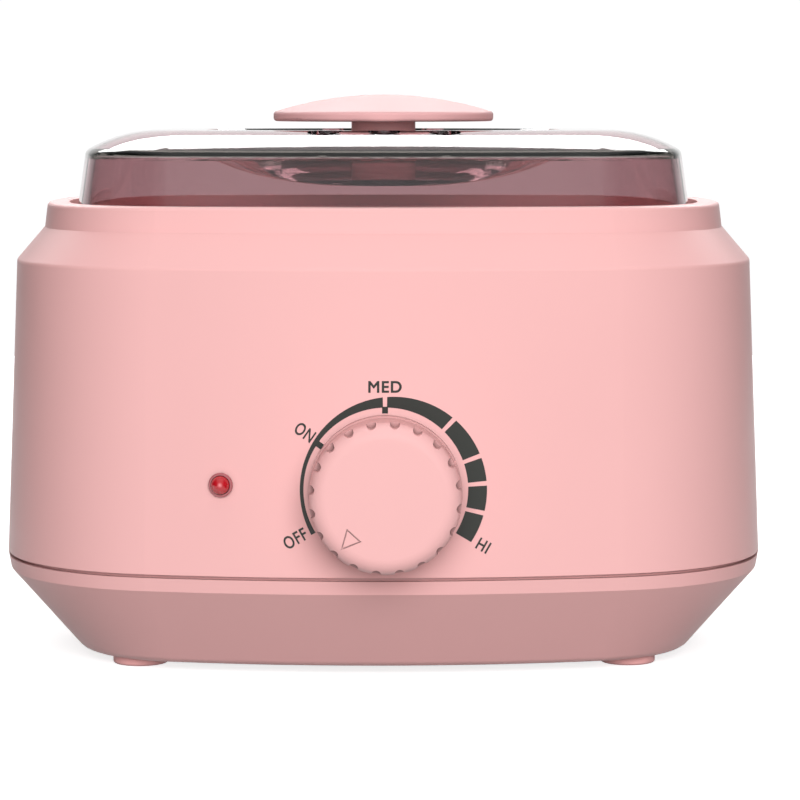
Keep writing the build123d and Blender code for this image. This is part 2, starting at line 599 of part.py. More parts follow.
def lid_shell():
    lid = lid_form(0) - lid_form(LID_WALL)
    # thick-walled dish that leaves room for the fingers under the handle
    bowl = loft([oval(hx, hy, z) for z, hx, hy in BOWL_LEVELS])
    top = BOWL_LEVELS[-1]
    brim = oval(DISH_RIM[0] + 5, DISH_RIM[1] + 3, LID_TOP_Z - 0.5)
    bowl += loft([oval(top[1], top[2], top[0]), brim])
    lid += bowl
    dish = loft([oval(*DISH_FLOOR, DISH_FLOOR_Z), oval(*DISH_MID, DISH_MID_Z)], ruled=True)
    dish += loft([oval(*DISH_MID, DISH_MID_Z), oval(*DISH_RIM, LID_TOP_Z)], ruled=True)
    lid -= dish
    bowl_low = BOWL_LEVELS[0][0]
    lid -= along(HANDLE_SCREW_R + HANDLE_SCREW_PLAY, bowl_low - 1, DISH_FLOOR_Z + 1)
    lid -= along(HANDLE_SCREW_HEAD_R + HEAD_PLAY, bowl_low - 1, HANDLE_SCREW_SEAT_Z)
    for side in (-1, 1):
        for index in (-1, 0, 1):
            slot = extrude(SlotOverall(SLOT_L, SLOT_W, rotation=90), 20, both=True)
            place = Pos(index * SLOT_PITCH, side * SLOT_Y, LID_TOP_Z)
            lid -= place * Rot(0, 0, -side * index * SLOT_FAN) * slot
    return lid


def lid_handle():
    rise = HANDLE_TOP_Z - HANDLE_Z - HANDLE_BAND
    dome_r = (HANDLE_R ** 2 + rise ** 2) / (2 * rise)
    disc = rod(0, 0, HANDLE_Z, HANDLE_TOP_Z + 1, HANDLE_R)
    disc &= Pos(0, 0, HANDLE_TOP_Z - dome_r) * Sphere(dome_r)
    disc = fillet(disc.edges(), HANDLE_EDGE_R)
    neck = rod(0, 0, DISH_FLOOR_Z, HANDLE_Z + 1, NECK_R)
    foot = rod(0, 0, DISH_FLOOR_Z, DISH_FLOOR_Z + NECK_FOOT_H, NECK_FOOT_R)
    foot = fillet(edges_at(foot, DISH_FLOOR_Z + NECK_FOOT_H), 0.5)
    handle = disc + neck + foot
    bore_top = HANDLE_SCREW_SEAT_Z + HANDLE_SCREW_LEN + 1
    return handle - along(HANDLE_SCREW_R + HANDLE_SCREW_PLAY, DISH_FLOOR_Z - 1, bore_top)


def lid_handle_screw():
    size = HANDLE_SCREW_R, HANDLE_SCREW_LEN, HANDLE_SCREW_HEAD_R, HANDLE_SCREW_HEAD_H
    return cross_screw(0, 0, HANDLE_SCREW_SEAT_Z, *size)


# ================================= dial =================================
def d_section(radius, flat, start, end):
    """A D-shaped rod on the dial's axis, its flat facing the pointer."""
    cutter = Pos(0, flat + radius, (start + end) / 2) * Box(4 * radius, 2 * radius, 2 * (end - start))
    return Rot(0, 0, -POINTER_ANGLE) * (along(radius, start, end) - cutter)


def thermostat_body():
    width, height, thickness = THERMO_PLATE
    plate_back = PAD_DEPTH - thickness
    plate = Pos(0, 0, PAD_DEPTH - thickness / 2) * Box(width, height, thickness)
    plate = fillet(plate.edges().filter_by(Axis.Z), 3.0)
    body = plate + along(BUSH_R, PAD_DEPTH - 0.2, BUSH_END)
    ceramic = along(THERMO_R, plate_back - THERMO_T, plate_back)
    ceramic = fillet(ceramic.edges().group_by(Axis.Z)[0], 0.8)
    body += ceramic
    tab_w, tab_l, tab_t = THERMO_TAB
    for side in (-1, 1):
        tab = Rot(90, 0, 0) * Box(tab_t, tab_w, tab_l)
        body += Pos(side * THERMO_TAB_X, -THERMO_R + 1, plate_back - THERMO_T / 2) * tab
    return on_dial(body - along(SHAFT_R + SHAFT_PLAY, plate_back - THERMO_T / 2, BUSH_END + 1))


def thermostat_nut():
    nut = Pos(0, 0, SPOT_DEPTH) * extrude(RegularPolygon(NUT_R, 6), NUT_T)
    nut = chamfer(nut.edges().group_by(Axis.Z)[-1], 0.4)
    return on_dial(nut - along(BUSH_R + BUSH_PLAY, SPOT_DEPTH - 1, SPOT_DEPTH + NUT_T + 1))


def thermostat_shaft():
    start = PAD_DEPTH - THERMO_PLATE[2] - THERMO_T / 2 + 0.5
    shaft = along(SHAFT_R, start, INSERT_START - 2)
    return on_dial(shaft + d_section(SHAFT_R, SHAFT_FLAT, INSERT_START - 2, SHAFT_END))


def knob_insert():
    bore = d_section(SHAFT_R + SHAFT_PLAY, SHAFT_FLAT + SHAFT_PLAY, INSERT_START - 1, SHAFT_END + 1)
    return on_dial(along(INSERT_R, INSERT_START, SHAFT_END) - bore)


def knob():
    body = along(KNOB_R, KNOB_BACK, KNOB_FACE)
    body += along(KNOB_RING_R, KNOB_BACK, KNOB_RING_END)
    body = fillet(body.edges().group_by(Axis.Z)[-1], KNOB_EDGE_R)
    for index in range(NOTCH_COUNT):
        turn = Rot(0, 0, 90 - NOTCH_PHASE - index * 360 / NOTCH_COUNT)
        body -= turn * Pos(NOTCH_FLOOR + NOTCH_R, 0, 0) * along(NOTCH_R, NOTCH_START, KNOB_FACE + 1)
    hollow = along(KNOB_R - KNOB_WALL, KNOB_BACK - 1, KNOB_FACE - KNOB_FACE_T - 2)
    hollow -= along(KNOB_BORE_R + KNOB_WALL, KNOB_BACK - 2, KNOB_FACE)
    body -= hollow
    body -= along(KNOB_BORE_R, KNOB_BACK - 1, KNOB_BORE_DEPTH)
    body -= along(INSERT_R + SHAFT_PLAY, KNOB_BORE_DEPTH - 1, SHAFT_END + 0.2)
    # engraved outline triangle that points at the scale
    tip, back, half, line = POINTER_TIP, POINTER_BACK, POINTER_HALF, POINTER_LINE
    big = Polygon((0, tip), (-half, back), (half, back), align=None)
    small = offset(big, -line)
    mark = Pos(0, 0, KNOB_FACE - POINTER_DEEP) * extrude(big - small, 2)
    return on_dial(body - Rot(0, 0, -POINTER_ANGLE) * mark)


# ================================= pilot light =================================
def led_holder():
    flange_top = LAMP_FLANGE_GAP + LAMP_FLANGE_T
    flange = along(LAMP_FLANGE_R, LAMP_FLANGE_GAP, flange_top)
    flange = fillet(flange.edges().group_by(Axis.Z)[-1], LAMP_FLANGE_T / 3)
    barrel = along(LAMP_BARREL_R, LAMP_BARREL_END, flange_top / 2)
    bore = Cylinder(LAMP_R + LAMP_PLAY, ROOM)
    return lamp_place(flange + barrel - bore)


def led_lens():
    tube = along(LAMP_R, LAMP_BARREL_END, LAMP_DOME)
    return lamp_place(tube + Pos(0, 0, LAMP_DOME) * Sphere(LAMP_R))


def led_board():
    width, thickness, height = LAMP_BOARD
    board = Pos(0, -3, LAMP_BARREL_END - thickness / 2) * Box(width, height, thickness)
    resistor = Rot(0, 90, 0) * Cylinder(RESISTOR_R, RESISTOR_L)
    board += Pos(0, -7, LAMP_BARREL_END - thickness - RESISTOR_R) * resistor
    return lamp_place(board)


# ================================= power =================================
def power_inlet():
    """Two-pin appliance inlet, with a flange on the back wall."""
    flange_w, flange_h, flange_t = INLET_FLANGE
    flange = block(-flange_w / 2, flange_w / 2, INLET_SEAT, INLET_SEAT + flange_t,
                   INLET_Z - flange_h / 2, INLET_Z + flange_h / 2)
    flange = fillet(flange.edges().filter_by(Axis.Y), 2.5)
    body_w, body_h = INLET_BODY
    body = block(-body_w / 2, body_w / 2, INLET_END, INLET_SEAT + 0.5,
                 INLET_Z - body_h / 2, INLET_Z + body_h / 2)
    well_w, well_h, well_d = INLET_WELL
    mouth = INLET_SEAT + flange_t
    pocket = extrude(SlotOverall(well_w, well_h), well_d + 1)
    pocket = Pos(0, mouth + 1, INLET_Z) * Rot(90, 0, 0) * pocket
    inlet = flange + body - pocket
    for side in (-1, 1):
        hole = Pos(side * INLET_PIN_PITCH / 2, mouth, INLET_Z) * Rot(90, 0, 0)
        inlet -= hole * Cylinder(INLET_PIN_R, 2 * ROOM / 8)
    return inlet


def inlet_pins():
    """Round pins with flat tabs behind the inlet."""
    floor = INLET_SEAT + INLET_FLANGE[2] - INLET_WELL[2]
    tab_w, tab_l, tab_t = INLET_TAB
    pins = []
    for side in (-1, 1):
        x = side * INLET_PIN_PITCH / 2
        pin = along(INLET_PIN_R, 0, floor + INLET_PIN_L - INLET_END)
        pin = fillet(pin.edges().group_by(Axis.Z)[0], 0.75 * INLET_PIN_R)
        pin = Pos(x, floor + INLET_PIN_L, INLET_Z) * Rot(90, 0, 0) * pin
        tab = Pos(x, INLET_END - tab_l / 2, INLET_Z) * Box(tab_t, tab_l, tab_w)
        pins.append(pin + tab)
    return pins


def terminal_block():
    """Two-way screw terminal on the base plate."""
    width, depth, height = BLOCK
    top = BASE_TOP_Z + height
    body = block(-width / 2, width / 2, BLOCK_Y - depth / 2, BLOCK_Y + depth / 2, BASE_TOP_Z, top)
    body = chamfer(body.edges().group_by(Axis.Z)[-1], 1.0)
    for side in (-1, 1):
        x = side * width / 4
        body -= rod(x, BLOCK_Y, BASE_TOP_Z + 4, top + 1, BLOCK_SCREW_R + FIT)
        body -= Pos(x, BLOCK_Y, BASE_TOP_Z + 5) * Rot(90, 0, 0) * Cylinder(1.6, depth + 2)
    return body


def terminal_screws():
    top = BASE_TOP_Z + BLOCK[2]
    screws = []
    for side in (-1, 1):
        screw = rod(side * BLOCK[0] / 4, BLOCK_Y, BASE_TOP_Z + 7, top - 1.5, BLOCK_SCREW_R)
        slot = Pos(side * BLOCK[0] / 4, BLOCK_Y, top - 1.5) * Box(2 * BLOCK_SCREW_R, 0.7, 1.4)
        screws.append(screw - slot)
    return screws


# ================================= write the nodes =================================
os.makedirs("parts", exist_ok=True)
save("upper_housing", upper_housing())
save("lower_housing", lower_housing())
save("feet", *feet())
save("base_screws", *base_screws())
save("heating_well", heating_well())
save("well_screws", *well_screws())
save("wax_pot", wax_pot())
save("pot_bail", pot_bail())
save("heater_band", heater_band())
save("band_screw", band_screw())
save("insulation_wrap", insulation_wrap())
save("thermal_fuse", thermal_fuse())
save("fuse_clip", fuse_clip())
save("lid_shell", lid_shell())
save("lid_handle", lid_handle())
save("lid_handle_screw", lid_handle_screw())
save("thermostat_body", thermostat_body())
save("thermostat_nut", thermostat_nut())
save("thermostat_shaft", thermostat_shaft())
save("knob_insert", knob_insert())
save("knob", knob())
save("led_holder", led_holder())
save("led_lens", led_lens())
save("led_board", led_board())
save("power_inlet", power_inlet())
save("inlet_pins", *inlet_pins())
save("terminal_block", terminal_block())
save("terminal_screws", *terminal_screws())
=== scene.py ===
"""The finish of the wax warmer: plastics, metals, the smoked lid and the heat scale printed on its front."""

import math

import bmesh
import bpy
from mathutils import Matrix, Vector
from mathutils.bvhtree import BVHTree


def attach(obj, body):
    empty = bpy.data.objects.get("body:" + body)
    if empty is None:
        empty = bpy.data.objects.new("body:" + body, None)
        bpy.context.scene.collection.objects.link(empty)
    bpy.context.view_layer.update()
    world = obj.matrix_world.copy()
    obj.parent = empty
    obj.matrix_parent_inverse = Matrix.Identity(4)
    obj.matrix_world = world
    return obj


MM = 0.001

# The room: how bright it is, how dark the flags at its sides are, how far to the side they begin and are full
# (as the sideways part of a direction), and what share of the room fills in the shadows
ROOM_WHITE = 1.02
FLAG_GREY = 0.1
FLAG_START = 0.35
FLAG_FULL = 0.8
ROOM_FILL = 0.14

# The paper under the warmer: its radius and corners, its grey as it is seen and as it bounces light, and the
# glow that lifts the shadows on it
FLOOR_R = 1.0
FLOOR_CORNERS = 96
FLOOR_SEEN = 0.75
FLOOR_BOUNCE = 0.11
FLOOR_GLOW = 0.75

# The soft boxes: place and size in metres, power in watts, whether gloss mirrors the box, and whether it
# lights what is matt. All face one point.
LIGHTS = {
    "key": ((0.1, -1.9, 0.62), (1.3, 1.2), 43.0, False, True),
    "overhead": ((0.0, 0.1, 1.6), (1.2, 1.2), 6.0, False, True),
    "rear": ((0.0, 1.9, 0.8), (0.8, 0.8), 18.0, False, True),
    "sheen": ((0.0, 1.05, 1.05), (2.2, 0.6), 37.5, True, False),
}
LIGHT_AIM = (0.0, 0.0, 0.07)

# Where the camera stands, in metres, how far it is turned, in degrees, and its lens and sensor in millimetres
CAMERA_AT = (-0.0044, -0.8673, 0.1469)
CAMERA_DOWN = 5.33
CAMERA_RIGHT = 0.576
CAMERA_LENS = 147.7
SENSOR_WIDTH = 36.0

# The heat scale printed round the dial, in millimetres from the dial's centre and degrees clockwise from the
# top. It lies between two circles, each with its radius and the x and z of its centre, and widens towards HI.
DIAL_Z = 49.3 * MM
SCALE_INNER = (20.35, 0.19, 0.25)
SCALE_OUTER = (23.12, 2.08, 0.15)
SCALE_END = 121.0
SCALE_GAPS = (0.0, 44.0, 70.0, 86.0, 103.0)
SCALE_GAP_WIDTH = 1.1
SCALE_STEP = 1.0

# The ticks inside the scale: their size in millimetres, what share of it reaches under the ring, their angles
TICK_SIZE = 1.45
TICK_FOOT = 0.15
TICK_ANGLES = (0.0, -55.0)

# How far the ink stands out of the wall and how far its sides reach into it, in millimetres
PRINT_PROUD = 0.06
PRINT_SUNK = 0.03

# Rays that find the front wall: their course, where they start from afar, and a short step back from the wall
INWARD = Vector((0.0, 1.0, 0.0))
FAR_OUT = -1.0
STEP_BACK = Vector((0.0, -0.01, 0.0))

# Points of the print that are nearer to each other than this are one, in millimetres
RING_WELD = 1e-5
LETTER_WELD = 1e-4

# The labels: text, where its middle stands, how far it turns clockwise, how tall its capitals are, how wide
# they are drawn, and how much ink stands outside the letters' thin outlines
LABELS = {
    "label_med": ("MED", (0.0, 25.7), 0.0, 2.9, 1.0, 0.10),
    "label_on": ("ON", (-19.8, 14.5), 35.0, 3.2, 0.72, 0.06),
    "label_off": ("OFF", (-22.2, -11.9), -30.0, 3.2, 0.75, 0.06),
    "label_hi": ("HI", (24.3, -13.7), 30.0, 3.0, 0.8, 0.06),
}
LETTER_SPACING = 1.12

# Ink at a sharp corner stands out by its width divided by this, and by no more
SHARPEST = 0.5

# Plastics: how close the swirls of the moulding lie (per metre), how many finer layers swirls and grain have,
# what they do to the gloss, and the painted shade in crevices (rays that feel for them, and how late it turns
# dark)
FLOW_SCALE = 22.0
FLOW_DETAIL = 4.0
FLOW_GLOSS = 0.25
GRAIN_DETAIL = 3.0
GRAIN_GLOSS = 0.12
SHADE_RAYS = 8
SHADE_CURVE = 1.3

# Metals: how close the oxide patches lie (per metre), how many finer layers they and the tool marks have, and
# what they do to the gloss
OXIDE_SCALE = 60.0
OXIDE_DETAIL = 5.0
OXIDE_GLOSS = 0.3
MARK_DETAIL = 2.0
MARK_GLOSS = 0.25

# How deep grain and tool marks go at full depth, in millimetres
BUMP_REACH = 0.02

# The band of the lid's thick edge, in millimetres above its foot, where light runs along the plastic and it
# looks dark, painted dark there as painted shade and reflection, and how softly the band ends
LID_EDGE_LOW = 15.2
LID_EDGE_HIGH = 17.6
LID_EDGE_SOFT = 0.4

# The lid: its tint, the painted dark of that band, how much of its shade falls on what is under it, and its
# smears
LID_SMOKE = (0.565, 0.40, 0.42)
LID_EDGE_PAINTED_DARK = (0.07, 0.08, 0.065)
LID_SHADE = 0.1
SMEAR_SCALE = 35.0
SMEAR_DETAIL = 5.0
SMEAR_GLOSS = 0.05

# The painted highlight, also the chip behind the red lens: its radius in millimetres, and the colours of lens
# and highlight
LED_HIGHLIGHT_R = 0.8
LENS_RED = (0.46, 0.002, 0.010)
HIGHLIGHT_RED = (0.78, 0.20, 0.22)

PINK = (0.84, 0.463, 0.455)
INK = (0.022, 0.024, 0.021)

# Where a Mix node has its sockets for colours
MIX_SHARE = 0
MIX_FIRST = 6
MIX_SECOND = 7
MIX_RESULT = 2

# What an effect hands on to the shader
LAYER_ENDS = (("Colour", "Base Color"), ("Roughness", "Roughness"), ("Normal", "Normal"))


class Finish:
    """One material being made: its nodes, its shader and short calls for joining them."""

    def __init__(self, name):
        self.material = bpy.data.materials.new(name)
        self.material.use_nodes = True
        self.tree = self.material.node_tree
        self.shader = self.tree.nodes["Principled BSDF"]

    def node(self, kind, **values):
        """A new node with its settings."""
        made = self.tree.nodes.new(kind)
        for name, value in values.items():
            setattr(made, name, value)
        return made

    def effect(self, group, **values):
        """An effect's group, placed with its own values."""
        made = self.tree.nodes.new("ShaderNodeGroup")
        made.node_tree = group
        for name, value in values.items():
            made.inputs[name.replace("_", " ")].default_value = value
        return made

    def join(self, source, target):
        """Links one socket to another."""
        self.tree.links.new(source, target)

    def wear(self, layer):
        """Joins an effect's colour, roughness and normal to the shader."""
        for name, socket in LAYER_ENDS:
            self.join(layer.outputs[name], self.shader.inputs[socket])

    def blend(self, share, first, second):
        """A colour between two, by a share from 0 to 1; gives its output socket."""
        made = self.node("ShaderNodeMix", data_type="RGBA")
        self.join(share, made.inputs[MIX_SHARE])
        made.inputs[MIX_FIRST].default_value = (*first, 1.0)
        made.inputs[MIX_SECOND].default_value = (*second, 1.0)
        return made.outputs[MIX_RESULT]

    def set(self, **values):
        """Sets what is the same all over the surface on the shader's own sockets."""
        for name, value in values.items():
            self.shader.inputs[name.replace("_", " ")].default_value = value


def new_group(name, inputs, outputs):
    """An empty shader group with its sockets, and its two end nodes."""
    group = bpy.data.node_groups.new(name, "ShaderNodeTree")
    for label, kind, value in inputs:
        socket = group.interface.new_socket(label, in_out="INPUT", socket_type=kind)
        socket.default_value = value
    for label, kind in outputs:
        group.interface.new_socket(label, in_out="OUTPUT", socket_type=kind)
    return group, group.nodes.new("NodeGroupInput"), group.nodes.new("NodeGroupOutput")


def math_node(tree, operation, first, second=0.0):
    """A Math node over one or two sockets or numbers; gives its output socket."""
    made = tree.nodes.new("ShaderNodeMath")
    made.operation = operation
    for socket, value in zip(made.inputs, (first, second)):
        if isinstance(value, (int, float)):
            socket.default_value = value
        else:
            tree.links.new(value, socket)
    return made.outputs[0]


def split_axes(tree, vector):
    """The X, Y and Z sockets of a vector."""
    split = tree.nodes.new("ShaderNodeSeparateXYZ")
    tree.links.new(vector, split.inputs[0])
    return split.outputs


def ramp(tree, value, ends, results, smooth=False):
    """A value carried over from one range to another and held at its ends; gives its output socket."""
    made = tree.nodes.new("ShaderNodeMapRange")
    if smooth:
        made.interpolation_type = "SMOOTHSTEP"
    for label, number in zip(("From Min", "From Max", "To Min", "To Max"), (*ends, *results)):
        made.inputs[label].default_value = number
    tree.links.new(value, made.inputs["Value"])
    return made.outputs["Result"]


def noise(tree, place, scale, detail):
    """A noise texture; gives its value socket. The scale is a number or a socket."""
    made = tree.nodes.new("ShaderNodeTexNoise")
    made.inputs["Detail"].default_value = detail
    tree.links.new(place, made.inputs["Vector"])
    if isinstance(scale, (int, float)):
        made.inputs["Scale"].default_value = scale
    else:
        tree.links.new(scale, made.inputs["Scale"])
    return made.outputs["Fac"]


def about_zero(tree, value, amount):
    """A noise value moved to lie about zero and scaled."""
    return math_node(tree, "MULTIPLY", math_node(tree, "SUBTRACT", value, 0.5), amount)


def relief(group, height, depth):
    """A bump in a group; gives its normal socket."""
    made = group.nodes.new("ShaderNodeBump")
    made.inputs["Distance"].default_value = BUMP_REACH * MM
    group.links.new(depth, made.inputs["Strength"])
    group.links.new(height, made.inputs["Height"])
    return made.outputs["Normal"]


def toned(group, colour, value):
    """A colour made lighter or darker; gives its output socket."""
    made = group.nodes.new("ShaderNodeHueSaturation")
    group.links.new(value, made.inputs["Value"])
    group.links.new(colour, made.inputs["Color"])
    return made.outputs["Color"]


def moulded_skin():
    """The skin of a moulded part: a fine spark-eroded grain, soft flow mottling, and painted shade in
    crevices.
    """
    group, enter, leave = new_group(
        "moulded skin",
        [
            ("Colour", "NodeSocketColor", (0.8, 0.8, 0.8, 1.0)),
            ("Grain Size", "NodeSocketFloat", 0.25),
            ("Grain Depth", "NodeSocketFloat", 0.2),
            ("Mottle", "NodeSocketFloat", 0.05),
            ("Roughness", "NodeSocketFloat", 0.4),
            ("Crevice", "NodeSocketFloat", 0.5),
            ("Crevice Reach", "NodeSocketFloat", 1.6),
        ],
        [("Colour", "NodeSocketColor"), ("Roughness", "NodeSocketFloat"), ("Normal", "NodeSocketVector")],
    )
    place = group.nodes.new("ShaderNodeTexCoord").outputs["Object"]
    grain_scale = math_node(group, "DIVIDE", 1.0 / MM, enter.outputs["Grain Size"])
    grain = noise(group, place, grain_scale, GRAIN_DETAIL)
    flow = noise(group, place, FLOW_SCALE, FLOW_DETAIL)
    group.links.new(relief(group, grain, enter.outputs["Grain Depth"]), leave.inputs["Normal"])

    rough = math_node(group, "ADD", enter.outputs["Roughness"], about_zero(group, flow, FLOW_GLOSS))
    rough = math_node(group, "ADD", rough, about_zero(group, grain, GRAIN_GLOSS))
    group.links.new(rough, leave.inputs["Roughness"])

    # painted shade: ambient occlusion darkens the colour where other surfaces close it in
    closed = group.nodes.new("ShaderNodeAmbientOcclusion")
    closed.samples = SHADE_RAYS
    feel = math_node(group, "MULTIPLY", MM, enter.outputs["Crevice Reach"])
    group.links.new(feel, closed.inputs["Distance"])
    deep = math_node(group, "POWER", math_node(group, "SUBTRACT", 1.0, closed.outputs["AO"]), SHADE_CURVE)
    dark = math_node(group, "MULTIPLY", deep, enter.outputs["Crevice"])
    tone = about_zero(group, flow, enter.outputs["Mottle"])
    value = math_node(group, "SUBTRACT", math_node(group, "ADD", 1.0, tone), dark)
    group.links.new(toned(group, enter.outputs["Colour"], value), leave.inputs["Colour"])
    return group


def worked_metal():
    """Metal with tool marks, as fine lines whose direction the stretch sets, and with patches of oxide."""
    group, enter, leave = new_group(
        "worked metal",
        [
            ("Colour", "NodeSocketColor", (0.8, 0.8, 0.8, 1.0)),
            ("Lines", "NodeSocketVector", (400.0, 400.0, 4000.0)),
            ("Depth", "NodeSocketFloat", 0.2),
            ("Roughness", "NodeSocketFloat", 0.3),
            ("Patches", "NodeSocketFloat", 0.12),
        ],
        [("Colour", "NodeSocketColor"), ("Roughness", "NodeSocketFloat"), ("Normal", "NodeSocketVector")],
    )
    place = group.nodes.new("ShaderNodeTexCoord").outputs["Object"]
    stretch = group.nodes.new("ShaderNodeVectorMath")
    stretch.operation = "MULTIPLY"
    group.links.new(place, stretch.inputs[0])
    group.links.new(enter.outputs["Lines"], stretch.inputs[1])
    lines = noise(group, stretch.outputs[0], 1.0, MARK_DETAIL)
    oxide = noise(group, place, OXIDE_SCALE, OXIDE_DETAIL)
    group.links.new(relief(group, lines, enter.outputs["Depth"]), leave.inputs["Normal"])

    marked = about_zero(group, lines, MARK_GLOSS)
    rough = math_node(group, "ADD", marked, about_zero(group, oxide, OXIDE_GLOSS))
    rough = math_node(group, "ADD", enter.outputs["Roughness"], rough)
    group.links.new(rough, leave.inputs["Roughness"])

    value = math_node(group, "ADD", 1.0, about_zero(group, oxide, enter.outputs["Patches"]))
    group.links.new(toned(group, enter.outputs["Colour"], value), leave.inputs["Colour"])
    return group


def moulded(
    skin, name, colour,
    grain=0.25, depth=0.2, roughness=0.4, mottle=0.05, painted_shade=0.5, shade_reach=1.6, **constants
):
    """A moulded plastic of one colour, with painted shade in crevices that are narrower than some
    millimetres.
    """
    finish = Finish(name)
    look = {"Grain_Size": grain, "Grain_Depth": depth, "Roughness": roughness, "Mottle": mottle}
    # painted shade: how dark the crevices are painted and how far the shade reaches, in millimetres
    finish.wear(finish.effect(skin, Colour=(*colour, 1.0), Crevice=painted_shade, Crevice_Reach=shade_reach, **look))
    finish.set(**constants)
    return finish.material


def metal(marks, name, colour, lines, depth=0.2, roughness=0.3, patches=0.12):
    """A bare metal with its tool marks."""
    finish = Finish(name)
    look = {"Depth": depth, "Roughness": roughness, "Patches": patches}
    finish.wear(finish.effect(marks, Colour=(*colour, 1.0), Lines=lines, **look))
    finish.set(Metallic=1.0)
    return finish.material


def smoked_clear(foot):
    """The lid's smoky clear plastic, with faint smears in its gloss, and a painted dark band at its edge that
    stands in for its dark reflection there.
    """
    finish = Finish("smoked clear plastic")
    place = finish.node("ShaderNodeTexCoord").outputs["Object"]
    smear = noise(finish.tree, place, SMEAR_SCALE, SMEAR_DETAIL)
    gloss = ramp(finish.tree, smear, (0.0, 1.0), (0.0, SMEAR_GLOSS))
    finish.join(gloss, finish.shader.inputs["Roughness"])

    # painted shade and reflection: the band of the thick edge is tinted near black
    middle = (LID_EDGE_LOW + LID_EDGE_HIGH) / 2 * MM
    half = (LID_EDGE_HIGH - LID_EDGE_LOW) / 2 * MM
    height = math_node(finish.tree, "SUBTRACT", split_axes(finish.tree, place)["Z"], foot)
    off_edge = math_node(finish.tree, "ABSOLUTE", math_node(finish.tree, "SUBTRACT", height, middle))
    edge = ramp(finish.tree, off_edge, (half - LID_EDGE_SOFT * MM, half), (1.0, 0.0), smooth=True)
    finish.join(finish.blend(edge, LID_SMOKE, LID_EDGE_PAINTED_DARK), finish.shader.inputs["Base Color"])

    # light falls through the lid on to what is under it
    path = finish.node("ShaderNodeLightPath")
    shadow = path.outputs["Is Shadow Ray"]
    passing = math_node(finish.tree, "MAXIMUM", shadow, path.outputs["Is Diffuse Ray"])
    solid = ramp(finish.tree, passing, (0.0, 1.0), (1.0, LID_SHADE))
    finish.join(solid, finish.shader.inputs["Alpha"])
    finish.set(Transmission_Weight=1.0, IOR=1.49)
    return finish.material


def lens_with_highlight(skin, lens):
    """The red lens, with a painted highlight a little above the middle of the dome, which also stands for the
    bright chip behind it.
    """
    finish = Finish("red lens")
    middle = sum((v.co for v in lens.data.vertices), Vector()) / len(lens.data.vertices)
    axes = split_axes(finish.tree, finish.node("ShaderNodeTexCoord").outputs["Object"])
    squares = []
    # painted highlight: a pale spot a little above the middle of the dome
    for axis, centre in (("X", middle.x), ("Z", middle.z + LED_HIGHLIGHT_R * MM / 3)):
        off = math_node(finish.tree, "SUBTRACT", axes[axis], centre)
        squares.append(math_node(finish.tree, "MULTIPLY", off, off))
    away = math_node(finish.tree, "SQRT", math_node(finish.tree, "ADD", *squares))
    painted_highlight = ramp(finish.tree, away, (0.0, LED_HIGHLIGHT_R * MM), (1.0, 0.0), smooth=True)
    layer = finish.effect(skin, Grain_Size=0.8, Grain_Depth=0.05, Roughness=0.15)
    finish.join(finish.blend(painted_highlight, LENS_RED, HIGHLIGHT_RED), layer.inputs["Colour"])
    finish.wear(layer)
    finish.set(Coat_Weight=0.5)
    return finish.material


